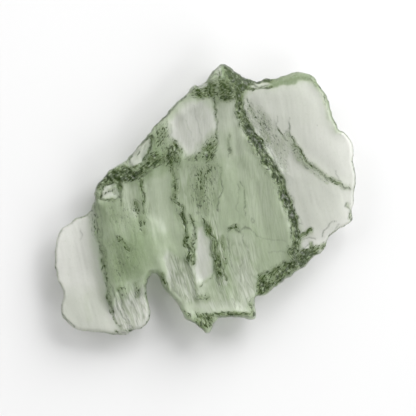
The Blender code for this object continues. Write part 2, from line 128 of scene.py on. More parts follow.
# Ridges and grooves: rise in millimetres, half width, points along the crest
STROKES = (
    # The crumbled ridge along the upper left
    (1.2, 0.7, ((10.6, 17.6), (12, 17.3), (13.4, 17.4), (14.7, 16.8), (15.6, 15.8), (17, 15.6), (18, 16))),
    (0.9, 0.45, ((15.3, 13.8), (15.4, 14.8), (15.8, 16))),
    (0.9, 0.45, ((19.6, 16), (20.6, 15.7), (21.5, 15.1))),
    # The summit and the thick upper edge right of it
    (2.4, 0.8, ((22.4, 7.2), (22.9, 8.4), (24.2, 8.8))),
    (1.1, 0.4, ((24, 8.5), (25.2, 8.9), (26.6, 8.8))),
    (1.5, 0.5, ((27.2, 8.7), (28.4, 8.3), (29.6, 8), (30.8, 7.9), (31.5, 8.4))),
    (1.0, 0.3, ((31.5, 8.6), (32.1, 9.6), (32.5, 10.9), (33, 12.2), (33.6, 13.2))),
    # The crest along the body's right ledge
    (0.7, 0.45, ((23.9, 9.6), (24.3, 11.6), (24.9, 12.9), (25.7, 14.2), (26.6, 15.6), (27.5, 17.2),
        (27.9, 18.6), (28.3, 19.8))),
    (0.6, 0.4, ((28.8, 21.2), (29.3, 22.6), (29.4, 24.2), (29, 25.6))),
    # The broken step in the right wing
    (0.7, 0.25, ((28.8, 13.4), (29.3, 14.3), (29.7, 15.2), (30.3, 16), (31.2, 16.5), (32.2, 17.5),
        (33.4, 18), (34.5, 18.7))),
    (0.35, 0.2, ((28, 13.6), (28.9, 14.7), (29.7, 15.9), (30.7, 16.8))),
    # The lower right rim and its ring
    (1.0, 0.7, ((26.2, 28.4), (27.4, 27.8), (28.6, 27), (29.6, 26.3), (30.6, 25.9))),
    (0.8, 0.35, ((30.9, 25.4), (31.2, 24.8), (32.2, 24.8))),
    (0.8, 0.3, ((29.8, 24), (30.4, 23.4), (31, 23.1))),
    # The crest along the left ledge
    (0.2, 0.4, ((9.9, 20.8), (10, 22.4), (10.2, 24.4), (10.7, 26.2), (10.9, 28.2), (11.1, 29.8),
        (11.7, 31.6))),
    # The columns beside the narrow window
    (1.0, 0.35, ((18.5, 21.2), (18.7, 23), (18.9, 24.4), (19, 25.8))),
    (0.9, 0.3, ((20.6, 22.2), (21.2, 23.8), (21.7, 25.6), (22, 27.2))),
    (0.5, 0.3, ((22.5, 25), (22.6, 27.4), (22.6, 29.8))),
    # Flutes of the middle
    (0.5, 0.25, ((14.1, 18.2), (14.3, 20.2), (14.4, 21.8))),
    (0.5, 0.3, ((17.2, 17.6), (17.5, 19.4), (17.8, 20.8))),
    (0.5, 0.5, ((13.9, 22.4), (14.4, 23.6))),
    (0.4, 0.25, ((22.2, 16.6), (22.1, 18.4), (21.9, 20.6))),
    (0.3, 0.3, ((22.8, 13.6), (22.9, 15.2))),
    (0.3, 0.2, ((24.2, 19), (24.4, 21.4))),
    (-0.35, 0.35, ((12, 22), (12.9, 24))),
    (-0.4, 0.25, ((21.5, 11.8), (21.6, 15.6))),
    # The tongue's flutes
    (0.5, 0.22, ((18, 26.2), (18.8, 28.6))),
    (0.5, 0.2, ((18.8, 26), (19.4, 28.4), (20, 30))),
    (0.4, 0.2, ((16.4, 27), (17.2, 29))),
    (-0.3, 0.2, ((18.4, 26.4), (19, 28.6), (19.4, 30.2))),
    (0.5, 0.3, ((19.8, 29.8), (20.8, 29.6))),
    (0.3, 0.2, ((23, 29.8), (23.3, 30.8))),
    # The foot's flutes
    (0.6, 0.22, ((12, 29), (12.6, 30.6), (13.2, 32.2))),
    (0.6, 0.3, ((12.3, 28.8), (12.6, 29.6))),
    (0.5, 0.22, ((13.7, 28.4), (13.9, 29.8))),
    (-0.3, 0.2, ((11.6, 28.6), (12.1, 30.2), (12.8, 32))),
    # The tip and the lower edge
    (1.0, 0.6, ((19.8, 31.9), (20.4, 32.3), (21, 31.9))),
    (0.8, 0.35, ((21.8, 31.4), (23.6, 31.3), (25, 31.3), (25.1, 30.4))),
    (0.6, 0.3, ((18.4, 31.3), (19, 31.6))),
)

# Etched ground, dark and pitted: how dark, in millimetres of glass, edge width, the lie of its
# streaks in degrees from across the sheet, and corners
ETCHED_AREAS = (
    # The crumbled band along the upper left, and the green ground between the windows
    (5.5, 0.4, -35, ((9.3, 19), (9.6, 18.5), (10.4, 17.6), (11.2, 16.9), (12, 16.4), (12.8, 16.8),
        (13.4, 17.2), (14.2, 16.7), (14.9, 15.9), (15.6, 15.3), (16.5, 15.6), (16.2, 16.4), (15.2, 16.9),
        (14.6, 17.5), (13.8, 18), (12.4, 18.3), (11.2, 18.2), (10.2, 18.4), (9.9, 19))),
    (4.6, 0.6, -60, ((16.2, 15.4), (17, 14.6), (17.6, 14.2), (18, 15.2), (18.2, 16.4), (17.4, 16.8),
        (16.4, 16.4))),
    (2.0, 0.7, -60, ((15.2, 14), (16, 12.6), (16.6, 12.2), (17, 13.2), (17.2, 14.6), (16.4, 15.4),
        (15.2, 15.4))),
    # Below the upper left window
    (3.4, 0.5, -50, ((19.6, 15.2), (20.6, 14.2), (21.4, 13.6), (21.6, 14.6), (21.5, 15.8), (20.6, 16.4),
        (19.4, 16.4), (19.2, 15.8))),
    (1.5, 0.6, -50, ((18.2, 16), (19.4, 14.8), (21, 12.8), (21.5, 13), (21.6, 16.2), (19, 17.2))),
    # The summit, and the crinkled ground left of it and below it
    (7.0, 0.35, 40, ((22.4, 6.8), (23.2, 7.1), (24.2, 7.9), (25, 8.3), (24.6, 9), (23.8, 9.4), (23, 9),
        (22.6, 8))),
    (5.0, 0.5, -10, ((20.6, 8.6), (22.4, 8), (23.8, 9), (24, 10.4), (22.8, 10.2), (21.6, 10.2),
        (20.8, 9.6))),
    (3.4, 0.4, -15, ((18.8, 9.4), (19.3, 8.9), (20.2, 8.7), (21, 8.3), (21.2, 9.2), (20.8, 10),
        (19.6, 9.9))),
    # The lower right rim
    (5.0, 0.4, -40, ((25.7, 27.6), (27, 26.8), (28, 26.4), (29.2, 25.6), (30.4, 24.9), (32.4, 24.3),
        (32.2, 24.9), (31, 26), (29.6, 27.1), (28, 28.3), (26.4, 29.4), (25.6, 29.6))),
    # The tip
    (3.8, 0.35, 60, ((19.6, 31.2), (21.3, 31.3), (21.2, 32.6), (20.4, 32.8), (19.6, 32.4))),
    # The speckled slope between the right ledge and the wing's step
    (1.9, 0.7, 60, ((24.4, 9.6), (26, 11.2), (27.4, 12.8), (28.6, 14.6), (28.6, 17.4), (27, 15.4),
        (25.4, 13), (24.4, 11.4))),
    # The speckled columns of the middle
    (1.8, 0.7, 82, ((19.2, 16.2), (21.6, 16.4), (21.8, 18.6), (21, 21.6), (19.6, 21.4), (19, 18.6))),
    # The speckled ground left of the middle
    (0.8, 0.8, 80, ((10.2, 19.8), (12.6, 20.2), (15, 20.4), (15.2, 22.8), (13, 23.8), (10.8, 22.6))),
    (0.9, 0.9, 80, ((10.6, 23.6), (13.6, 24), (14.6, 26.8), (12.6, 28.4), (11.2, 27.6))),
)

# Etched lines, cracks and ledges: how dark, in millimetres of glass, half width, points
ETCHED_LINES = (
    # The body's right ledge
    (7.5, 0.45, ((23.7, 9.6), (24, 11), (24.3, 12.2))),
    (8.0, 0.55, ((24.4, 12.2), (25, 13.4), (25.7, 14.7), (26.5, 15.8), (27.3, 17))),
    (8.0, 0.45, ((27.3, 17), (28, 18.4), (28.4, 19.8), (28.9, 21), (29.4, 22.4))),
    (6.5, 0.5, ((29.4, 22.4), (29.6, 24), (29.3, 25.2), (29.4, 26))),
    (2.8, 0.2, ((24.6, 9.8), (25.1, 11), (25.7, 12), (26.2, 12.9), (27, 14.2), (27.9, 15.8))),
    # The wing's broken step and the lines beside it
    (2.8, 0.28, ((29.1, 13.8), (29.5, 14.7), (30, 15.5), (30.6, 16.3), (31.2, 16.7))),
    (1.6, 0.5, ((28.6, 13.6), (29.2, 14.9), (30, 15.9))),
    (2.2, 0.28, ((31.2, 16.7), (32, 17.2), (33, 18), (33.8, 18.3), (34.7, 18.8))),
    (1.4, 0.25, ((29.2, 14.9), (30, 15.9), (30.8, 16.8), (31.6, 17.6), (32.6, 18.2))),
    (2.4, 0.15, ((27.7, 12.9), (28.1, 13.6), (28.7, 14), (29.2, 14.8))),
    (2.2, 0.13, ((25.8, 11.2), (26.2, 11.8), (26.9, 12.7), (27.5, 13.1))),
    (2.0, 0.35, ((27.4, 14.8), (27.8, 15.8), (28, 16.6))),
    # The dark ledge of the upper edge, the thick upper edge, and the right edge
    (9.0, 0.2, ((24.2, 8), (25, 8.35), (25.8, 8.4), (26.4, 8.2), (27.2, 8.1))),
    (4.5, 0.16, ((24.4, 9), (25.2, 9.15), (26.2, 9), (27, 8.9))),
    (0.8, 0.4, ((27.4, 8.5), (28.2, 8.1), (29.4, 7.7), (30.4, 7.8), (31, 8))),
    (1.6, 0.25, ((31, 8), (31.8, 8.9), (32.3, 9.8), (32.5, 10.8), (33, 12), (33.5, 13))),
    (2.6, 0.2, ((34.7, 20.3), (35, 21.2), (34.8, 21.8))),
    (4.0, 0.14, ((20.6, 8.4), (21.1, 7.7), (21.6, 6.9), (22.2, 6.6), (23, 6.9))),
    (6.0, 0.12, ((25, 8.7), (25.8, 8.95), (26.6, 8.75))),
    (8.0, 0.15, ((21.6, 7.3), (21.9, 7.6), (21.8, 8))),
    (4.0, 0.12, ((21.2, 8.4), (21.7, 8.1), (22.3, 8.2), (22.6, 7.6))),
    # The lower right ring and the hooked line
    (4.0, 0.25, ((29.8, 23.9), (30.3, 23.3), (31, 22.9))),
    (3.4, 0.25, ((30.3, 25.2), (31, 24.9), (31.1, 24.4))),
    # The left ledge
    (2.5, 0.45, ((9.5, 19.6), (9.4, 21), (9.6, 22.4), (9.8, 24), (10.2, 25.4))),
    (2.1, 0.3, ((10.4, 25.4), (10.5, 27), (10.7, 28.4), (11, 30), (11.3, 31))),
    (2.4, 0.15, ((11.1, 30.4), (11.5, 31.6), (12.1, 32.8))),
    # Legs below the crumbled band
    (2.8, 0.25, ((14.2, 18), (14.3, 19.6), (14.4, 21.4))),
    (2.4, 0.45, ((17.3, 16.8), (17.5, 18.6), (17.7, 20.4), (18.2, 21.4))),
    (2.8, 0.22, ((12, 18), (12, 19.4), (12.1, 20.6))),
    (2.4, 0.45, ((13.6, 20.6), (14, 22), (14.4, 23.2))),
    (3.0, 0.25, ((12, 23.6), (12.5, 24.4), (12.9, 25))),
    # Columns each side of the narrow window
    (4.4, 0.3, ((18.3, 20.8), (18.5, 22.4), (18.6, 24), (18.9, 25.8))),
    (3.6, 0.2, ((19.2, 21.6), (19.3, 23.4), (19.2, 25.4), (19.4, 26.4))),
    (3.2, 0.35, ((20.4, 21.9), (21, 23), (21.4, 24.6), (21.7, 26.2), (22.1, 27.4))),
    (2.0, 0.15, ((22, 23.6), (22.4, 26), (22.6, 28))),
    # The outlines of the two small windows
    (3.8, 0.22, ((13.2, 16.8), (12.9, 16), (13.5, 15.1), (14.6, 14.1), (15.2, 13.8))),
    (4.8, 0.22, ((13.2, 16.8), (14.3, 16.3), (14.9, 15.2), (15.2, 14))),
    (5.0, 0.2, ((13.6, 15.8), (14, 15.2), (14.6, 14.7))),
    (3.4, 0.22, ((10.1, 19.8), (10.2, 18.7), (11, 18.2), (11.8, 18.6), (12, 19.8), (11, 20.2),
        (10.1, 19.8))),
    (3.0, 0.2, ((10.6, 19.4), (11.2, 18.9), (11.5, 19.5))),
    # The upper left edge
    (4.0, 0.16, ((13.2, 15.6), (14, 14.6), (14.9, 13.6), (15.6, 12.7), (16.2, 12.1))),
    (2.6, 0.12, ((16.4, 11.9), (17.4, 10.7), (18.6, 9.6))),
    # The left side of the neck below the summit
    (2.6, 0.18, ((21.4, 9.4), (21.5, 11), (21.5, 12.6), (21.6, 14.2))),
    # The middle's hairlines
    (1.3, 0.2, ((22.8, 13.4), (22.9, 14.8), (22.9, 15.6))),
    (2.4, 0.25, ((22.8, 22.9), (23.5, 22.8), (23.8, 23.1))),
    # The tongue
    (2.2, 0.15, ((18.5, 26.8), (19.1, 28.4))),
    (2.6, 0.4, ((19.8, 29.8), (20.8, 29.6))),
    (2.0, 0.15, ((20.3, 28.5), (21.2, 27.8), (21.4, 26.2))),
    (3.0, 0.2, ((16.2, 27.2), (17, 28.8))),
    (3.4, 0.25, ((21.6, 31.4), (23, 31.4), (24.2, 31.3), (25.2, 31.4), (25.1, 30.4), (24.8, 29.8))),
    (3.2, 0.3, ((18.3, 31), (19, 31.5))),
    # The foot
    (2.6, 0.3, ((12.1, 28.8), (12.6, 29.4))),
    (2.4, 0.25, ((13.7, 28.4), (13.9, 29.4))),
    (2.4, 0.2, ((11.6, 33.1), (12.8, 33.1), (13.4, 32.8))),
)

# Thin dark creases: how dark, half width, and the points of each
HAIRLINES = (
    # The body's right ledge
    (0.7, 0.07, ((23.5, 9.4), (23.9, 10.6), (24.3, 11.8), (25, 13), (25.9, 14.3), (26.7, 15.6),
        (27.5, 16.9), (28.2, 18.2), (28.6, 19.6), (29.2, 21), (29.7, 22.4), (29.8, 24))),
    (0.6, 0.07, ((24, 9.6), (24.6, 11.2), (25.4, 12.6), (26.4, 14), (27.3, 15.6), (28, 17.2),
        (28.5, 18.8))),
    # The wing's broken step
    (0.9, 0.07, ((28.8, 12.4), (29, 13.6), (29.4, 14.5), (29.9, 15.3), (30.5, 16.1), (31.1, 16.6))),
    (0.7, 0.07, ((31.1, 16.6), (31.8, 17), (32.6, 17.7), (33.4, 18.2), (34, 18.4), (34.8, 18.9))),
    (0.6, 0.07, ((29, 14.4), (29.7, 15.4), (30.4, 16.5), (30.8, 16.9)), ((27.6, 12.4), (27.9, 13.3),
        (28.5, 14))),
    (0.5, 0.07, ((26.1, 11.8), (26.4, 12.4), (27, 13.2)), ((33.6, 17.2), (33.8, 18))),
    (0.4, 0.07, ((27.7, 11.6), (27.7, 12.8)), ((28.8, 11.8), (28.8, 13))),
    # The upper left edge and the right edge
    (0.8, 0.08, ((13.2, 15.6), (14, 14.6), (14.9, 13.6), (15.6, 12.7), (16.2, 12.1), (17.4, 10.8),
        (18.8, 9.5))),
    (0.7, 0.07, ((35.4, 17), (35.35, 18.6), (35.2, 20))),
    (0.6, 0.07, ((34.5, 20.2), (34.9, 21), (34.8, 21.8))),
    # The summit and the creases left of it
    (0.8, 0.08, ((20.7, 8.4), (21.2, 7.6), (21.7, 6.9), (22.3, 6.7), (23.1, 7), (24, 7.8), (25, 8.3),
        (26, 8.3))),
    (0.7, 0.07, ((18.9, 9.3), (19.6, 8.9), (20.6, 8.7), (21.2, 8.2))),
    (0.6, 0.07, ((19.2, 9.8), (20.2, 9.4), (21, 9.2)), ((20, 9.9), (20.6, 9.7), (21.2, 9.8)), ((21, 8.2),
        (21.5, 8), (22.2, 8.2), (22.6, 7.6))),
    (1.0, 0.1, ((22.4, 6.9), (22.7, 7.6), (22.9, 8.5), (23.2, 9.4)), ((23, 7.2), (23.5, 8), (24.3, 8.5),
        (25.2, 8.5), (26.2, 8.35), (27, 8.15))),
    (0.9, 0.08, ((22.2, 9), (22.9, 9.2), (23.8, 9), (24.6, 9), (25.6, 9.2), (26.8, 9))),
    (0.9, 0.1, ((21.6, 9), (22.4, 9.6), (23.2, 10.2))),
    (0.9, 0.06, ((20.9, 8), (21.4, 7.7), (21.9, 7.9), (22.2, 7.4)), ((21.2, 7.5), (21.7, 7.2), (22.1, 7)),
        ((24.7, 8.9), (25.4, 8.7), (26, 9), (26.8, 8.65))),
    (0.8, 0.06, ((31.45, 12.7), (31.55, 12.75))),
    # The crumbled band and the outlines of the windows
    (0.7, 0.08, ((10, 18.4), (11.2, 17.4), (12.4, 17.6), (13.8, 17.4), (15, 16.8), (16, 16.2))),
    (0.6, 0.07, ((11, 18), (12.6, 18.1), (14, 17.9), (15.2, 17.2)), ((13.2, 16.6), (13, 15.9), (13.6, 15),
        (14.6, 14.1), (15.1, 13.9)), ((13.2, 16.7), (14.2, 16.3), (14.9, 15.2), (15.1, 14.2))),
    (0.5, 0.07, ((10.1, 19.8), (10.2, 18.8), (11, 18.2), (11.8, 18.6), (12, 19.8), (11, 20.1)),
        ((21.4, 9.4), (21.5, 11), (21.5, 12.6), (21.6, 14.2), (21.5, 15.2))),
    (0.35, 0.07, ((17, 12.6), (17.3, 14), (18, 15), (18.8, 15.8))),
    (0.25, 0.07, ((19.2, 10.8), (19.8, 12.6), (20.2, 14.6))),
    (0.2, 0.07, ((18.4, 12), (19.4, 14.2))),
    # Legs below the crumbled band
    (0.5, 0.07, ((14.2, 18), (14.25, 19.6), (14.4, 21.4)), ((12, 18.1), (12, 19.4), (12.1, 20.6))),
    (0.4, 0.07, ((17.3, 17), (17.5, 18.6), (17.7, 20.4))),
    # Columns each side of the narrow window
    (0.7, 0.07, ((18.3, 20.8), (18.5, 22.4), (18.6, 24), (18.9, 25.8))),
    (0.5, 0.07, ((19.2, 21.6), (19.3, 23.4), (19.2, 25.4)), ((20.9, 22.4), (21.5, 24.2), (22, 26.4))),
    (0.6, 0.07, ((20.4, 22), (21, 23.2), (21.4, 24.8), (21.7, 26.4), (22, 27.6))),
    # The left ledge
    (0.5, 0.07, ((9.5, 19.8), (9.6, 21.4), (9.9, 23.2), (10.1, 25), (10.5, 26.8), (10.8, 28.6),
        (11.2, 30.4), (11.8, 32.2))),
    (0.4, 0.07, ((10, 20.6), (10.2, 22.4), (10.3, 24.2), (10.8, 26.6), (11.2, 28.6))),
    # The middle, with two bubbles
    (0.7, 0.07, ((22.2, 16.8), (22.1, 18.5), (22.1, 19.8), (21.9, 20.6), (21.9, 21.2))),
    (0.6, 0.07, ((24, 18.3), (24.3, 19), (24.4, 20), (24.5, 21.5))),
    (0.35, 0.07, ((23.7, 18.5), (23.7, 21))),
    (0.5, 0.08, ((22.8, 13.6), (22.9, 14.8), (22.9, 15.4))),
    (0.5, 0.06, ((21.65, 16.8), (21.85, 16.6), (22.05, 16.8), (21.85, 17), (21.65, 16.8)), ((25, 22.05),
        (25.2, 21.85), (25.4, 22.05), (25.2, 22.25), (25, 22.05))),
    # The arch and the lines below it
    (0.6, 0.07, ((22.6, 23.3), (22.9, 22.9), (23.4, 22.9), (23.8, 23.2), (24.3, 22.8), (25, 23),
        (25.6, 23.7))),
    (0.4, 0.07, ((24.1, 23.2), (24.7, 24.7), (25, 26.2)), ((24, 25.8), (24.1, 28.2))),
    (0.3, 0.07, ((25.4, 23.5), (27, 24), (28.5, 24.1)), ((26.6, 25.2), (28.6, 25.2))),
    (0.5, 0.07, ((22.5, 23.6), (22.8, 25.2), (23.1, 26.6))),
    # The tongue
    (0.5, 0.07, ((18.7, 25.5), (19.2, 27.5), (19.65, 29.4)), ((20.4, 22.6), (21.2, 25.6), (21.95, 28.6)),
        ((23, 29.8), (23.3, 30.8)), ((15.6, 27.5), (16.2, 28.2), (16.8, 29.2), (17.7, 30))),
    (0.4, 0.07, ((17.6, 26), (18.4, 28), (19, 30)), ((16.6, 26.4), (17.4, 28.4), (18, 29.8))),
    (0.6, 0.07, ((18.6, 31.7), (19.4, 32.1), (20.6, 33)), ((21.6, 31.7), (23.2, 31.6), (25.2, 31.7)),
        ((24.9, 30.2), (25.3, 30.9), (25.2, 31.6))),
    # The lower right rim and the hooked line
    (0.6, 0.07, ((25.9, 27.4), (27.4, 26.8), (29, 25.9), (30.4, 25), (31.2, 24.2)), ((30.2, 24),
        (30.9, 23.6), (31.6, 23.8))),
    (0.7, 0.07, ((32.2, 23.8), (32.3, 23.2), (32.7, 22.6), (33.1, 22.2), (33.6, 22.2))),
    (0.5, 0.07, ((33.4, 22.9), (34, 22.4))),
    # The foot, with a round spot
    (0.7, 0.07, ((11.3, 28.6), (12, 30.6), (12.75, 32.9)), ((12.95, 32.7), (13.15, 32.5), (13.35, 32.7),
        (13.15, 32.9), (12.95, 32.7))),
    (0.6, 0.07, ((12, 29), (12.6, 31), (13, 32.8))),
    (0.4, 0.07, ((12.9, 29.4), (13.6, 31.6), (13.9, 32.4)), ((13.9, 28.8), (14.3, 30.4), (14.4, 31.8))),
    (0.5, 0.07, ((9.6, 33.2), (11, 33.4), (12.4, 33.4), (13.4, 33))),
    # The left lobe
    (0.6, 0.07, ((5.9, 23.6), (6.4, 22.8), (7.2, 22.2))),
    (0.8, 0.07, ((6.1, 31), (6.6, 31.9), (7.4, 32.7))),
    (0.4, 0.07, ((7.9, 23), (8.1, 23.5), (7.9, 24.1))),
)

# Olive stains in the skin, and below 0 paint lighter than the ground: how deep, in millimetres, edge width,
# corners
STAINS_AND_PAINTED_LIGHT = (
    # Painted light along the left ledge: the paint is made paler there to lift the shade of the ledge's
    # slope
    (-0.8, 0.6, ((9.2, 20.4), (10.2, 20.4), (10.8, 24.6), (11.6, 28.6), (12.2, 31.6), (11.2, 31.8),
        (10.4, 29), (9.8, 26.4), (9.2, 23))),
    # The summit, and the wing
    (1.0, 0.5, ((22.6, 7.2), (24.2, 8), (25, 8.6), (24.2, 9.8), (23, 9.8), (22.4, 8.6))),
    (0.22, 1.0, ((24.6, 9.4), (30, 8.6), (32.6, 10), (34.6, 14), (35.3, 17), (35.2, 20), (33.4, 22.4),
        (30.4, 24), (29.4, 21), (28.4, 17.6), (26.4, 13.6))),
    # The thick ground left of the middle
    (0.45, 2.0, ((9.8, 20.2), (11.8, 20.6), (12.8, 22.4), (15.4, 22.6), (15.9, 25), (14.8, 27.6),
        (12, 28.6), (10.8, 27), (10.2, 24))),
    (0.9, 2.2, ((12.4, 24.2), (13.6, 23.4), (15.4, 24), (15.4, 26), (14.6, 27.6), (12.6, 28.2), (12, 27))),
    (0.3, 0.8, ((10, 20.2), (11.6, 20.4), (11.8, 22), (10.6, 22.6))),
    (0.45, 0.7, ((13.2, 20.4), (14.8, 20.2), (15, 22.6), (14, 23.6), (13.2, 22.4))),
    (0.5, 0.6, ((12, 23.2), (12.6, 23.4), (13, 24.8), (12.4, 25))),
    # The band below the two small windows, and the ground between the windows
    (1.2, 0.5, ((13.6, 17.6), (15, 16.6), (16.6, 15.8), (17.8, 15.4), (18.2, 16.6), (16.6, 17.4),
        (14.6, 18.2))),
    (0.5, 0.7, ((15.2, 14.2), (16.4, 12.8), (17.2, 14.4), (17.4, 16), (15.6, 16))),
    # The thick upper edge and the right edge
    (4.6, 0.3, ((27, 7.6), (28.2, 7.4), (29.4, 7), (30.6, 7), (31.4, 7.6), (31, 8.1), (30.3, 8.1),
        (29.3, 8.5), (28.5, 8.65), (27.5, 9), (26.8, 8.9))),
    (3.6, 0.3, ((30.8, 7.2), (31.6, 7.4), (32.8, 9), (33.4, 11), (34.2, 12.8), (34, 13.4), (33.2, 12.2),
        (32.6, 10.6), (32.2, 9.4), (31.2, 8.4))),
    # The lower right rim
    (1.0, 0.4, ((25.6, 27.8), (27, 27.2), (28.6, 26.6), (30, 25.9), (31, 25.6), (30.8, 26.8), (28.6, 28.6),
        (26.6, 29.8), (25.4, 30))),
    # The tongue's column and its lower edge
    (0.6, 1.0, ((20.8, 26), (22.6, 24), (23.8, 25), (23.8, 29.6), (22.4, 30.4), (21, 29))),
    (0.5, 0.9, ((19.4, 30.8), (25.2, 31), (25.2, 31.9), (21.4, 32.2), (20.4, 33.2), (19.2, 32))),
    # The left lobe
    (0.55, 2.0, ((5, 29), (10.6, 29), (12, 35), (5, 35))),
    (0.35, 0.5, ((8.6, 29.2), (9, 29.2), (9.1, 32.2), (8.7, 32.2))),
)

# Clear windows: how much of the green and the etching they clear away, edge width, corners
WINDOWS = (
    (0.7, 0.3, ((13.1, 15.9), (13.4, 15.2), (14.4, 14.2), (15.1, 13.9), (15, 14.9), (14.4, 16.2),
        (13.2, 16.7), (12.8, 16.4))),
    (0.45, 0.4, ((10.2, 19.9), (10.3, 18.7), (11.2, 18.3), (11.9, 18.7), (11.8, 19.8))),
    (1.0, 1.0, ((17, 12.4), (17.6, 11.4), (18.6, 10.6), (20, 10.2), (21, 10.8), (21.5, 11.8), (21.6, 12.8),
        (20.8, 13.8), (19.8, 15), (18.8, 15.4), (18, 14.8), (17.3, 14))),
    (0.5, 0.6, ((16.4, 25.6), (17.4, 25.4), (19.2, 26.8), (19.8, 29.6), (18.6, 30.4), (17.2, 28.8))),
    (0.75, 0.2, ((21.5, 7.2), (22, 6.9), (22.2, 7.8), (21.6, 8))),
    (0.45, 0.8, ((23.4, 26.4), (24.6, 25.6), (25.2, 27.4), (25.3, 29.4), (24.4, 30.2), (23.6, 28.6))),
    (0.4, 0.6, ((20.8, 30), (24.6, 30.2), (24.8, 31.1), (21, 31.1), (19.2, 30.8))),
    (1.0, 0.4, ((19.6, 22.9), (20.2, 22.7), (20.8, 23.8), (21, 25.4), (21.2, 27.2), (20.6, 28),
        (19.9, 27.8), (19.6, 26.4))),
    (1.0, 0.2, ((30.3, 24.4), (30.8, 24.3), (30.8, 25.1), (30.3, 25.2))),
    (0.9, 0.2, ((20, 8.6), (20.8, 8.4), (20.8, 8.9), (20, 9))),
    (0.55, 0.2, ((24.7, 8.75), (25.6, 8.8), (26.8, 8.5), (27.2, 8.6), (26.4, 9), (25.2, 9.1))),
)

# Finely streaked ground: how strong, width of the edge, corners
STREAKED_AREAS = (
    (0.9, 1.2, ((16.8, 16.8), (21.8, 16.6), (22.4, 18.4), (22, 22.4), (17.6, 22))),
    (2.2, 0.6, ((20.7, 22), (21.6, 22.2), (22.4, 24.4), (22.8, 28.6), (21.8, 29), (21, 25.4))),
    (1.4, 0.6, ((16.8, 25.6), (19.2, 25.6), (20.4, 30.2), (18.6, 30.6), (17.2, 28.8))),
    (1.1, 0.6, ((11.2, 28.4), (14.8, 28.4), (14.8, 31.8), (13, 33.2), (11.8, 33.2))),
    (1.0, 1.0, ((22.2, 24), (25.8, 24), (25.8, 30.8), (20.4, 31.2), (21.4, 28))),
    (0.7, 0.8, ((12.2, 18.4), (15, 18.2), (15.2, 21.6), (12.6, 21.8))),
    (0.3, 0.8, ((17.4, 10.8), (21.4, 10.4), (21.6, 15), (18.6, 15.6))),
    (0.6, 0.8, ((24.6, 9.4), (26.4, 11.6), (28.6, 13.6), (28.8, 17.4), (26.4, 14.2), (24.8, 12.4))),
    (0.5, 1.4, ((22.6, 9.8), (23.8, 10.4), (27.6, 18.4), (28.8, 23.6), (26, 28), (24.4, 23))),
    (0.6, 1.2, ((9.8, 20.4), (12.4, 21), (13, 28.4), (11.2, 28.6))),
)

# How much one millimetre of green ground, or of stain, darkens each colour of the skin
GROUND_TINT = (0.207, 0.138, 0.272)
STAIN_TINT = (0.24, 0.195, 0.29)
BODY_LIGHTER = 0.10

# The colours of the skin's threads and washes, its dark crumbs, its pale flecks (partly painted highlights
# for the glints of the pits) and its pale threads
OLIVE_TINT = (0.20, 0.27, 0.11)
DEEP_TINT = (0.045, 0.08, 0.016)
CREASE_TINT = (0.022, 0.045, 0.006)
FLECK_AND_GLINT_TINT = (0.56, 0.66, 0.42)
PALE_TINT = (0.93, 0.95, 0.88)

# Etching, in millimetres of glass: the plain skin's, where pits begin, and where it is full. The
# last two values are the dark line just inside the outline.
PLAIN_SKIN = 0.2
PITTED_FROM = 2.0
FULLY_ETCHED = 5.0
PIT_DEPTH = 0.12
EDGE_LINE = 2.2
EDGE_LINE_WIDTH = 0.13

# Grain: the width and length of a cell in millimetres, and its detail
PATCHES = (0.5, 0.9, 3.0)
CRUMB = (0.14, 0.36, 2.0)
THREADS = (0.3, 2.4, 1.0)
PALE_THREADS = (0.34, 2.1, 1.0)
MOTTLE = (0.2, 0.3, 3.0)

# The threads: their share of a grain's range, and how strongly they colour the skin
THREAD_WIDTH = 0.12
PALE_WIDTH = 0.1
DARK_SHARE = 0.45
PALE_SHARE = 0.4

# Ramps that turn a grain or an etching into a share from 0 to 1: slope and offset
ANY_ETCHING = (3.0, 0.0)
DEEP_ETCHING = (1.0, -0.85)
# The pale flecks' ramp: the flecks are partly painted highlights for the glints of the pits
PALE_CRUMBS_AND_GLINTS = (22.0, -13.9)
BROKEN_CREASES = (-5.0, 3.5)
DARK_MOTTLE = (0.7, -0.38)
PALE_MOTTLE = (-0.9, 0.42)

# How uneven the dark wash is: slope and offset
WASH = (2.4, 0.1)

# How the dark crumbs grow in number with the etching
CRUMB_SLOPE = -22.0
CRUMB_GROWTH = 2.6
FEWEST_CRUMBS = 9.0
MOST_CRUMBS = 13.3

# The shares of the drawn rises and ridges that the mesh keeps, and of the rises in the green
RISE_RELIEF = 0.45
RIDGE_RELIEF = 0.15
RISE_GREEN = 0.25

# How much wider than drawn the slopes are, and what the underside takes of the hollows and steps
SOFTNESS = 0.7
HOLLOWS_BELOW = 0.75
STEP_BELOW = 1.5
STEP_BLEND = 0.6

# The underside: how far each part of the shard lifts off the ground, in millimetres
LIFTS = (
    (1.9, ((2, 18), (7.4, 20), (8.4, 27), (13, 32), (13, 37), (2, 37))),
    (1.9, ((28.6, 3), (40, 3), (40, 26), (33.4, 24.4), (31.8, 15))),
    (1.2, ((16, 2), (28.6, 2), (27.4, 8.2), (19, 9.8))),
    (1.3, ((17, 30.8), (27.4, 30), (27.4, 37), (15, 37))),
    (0.8, ((5, 18.4), (14.4, 9.4), (15.4, 12.4), (10.6, 17.6))),
)
LIFT_EDGE = 6.5

# The flat facet that the shard rests on
REST_FACET = (
    (14.2, 22.6), (15.6, 18.8), (20.2, 16.2), (25, 17), (26.6, 20.4), (26, 24.2), (23.6, 26), (20.6, 25.4),
    (17.4, 24.6), (15.4, 25.4),
)
FACET_EDGE = 2.0

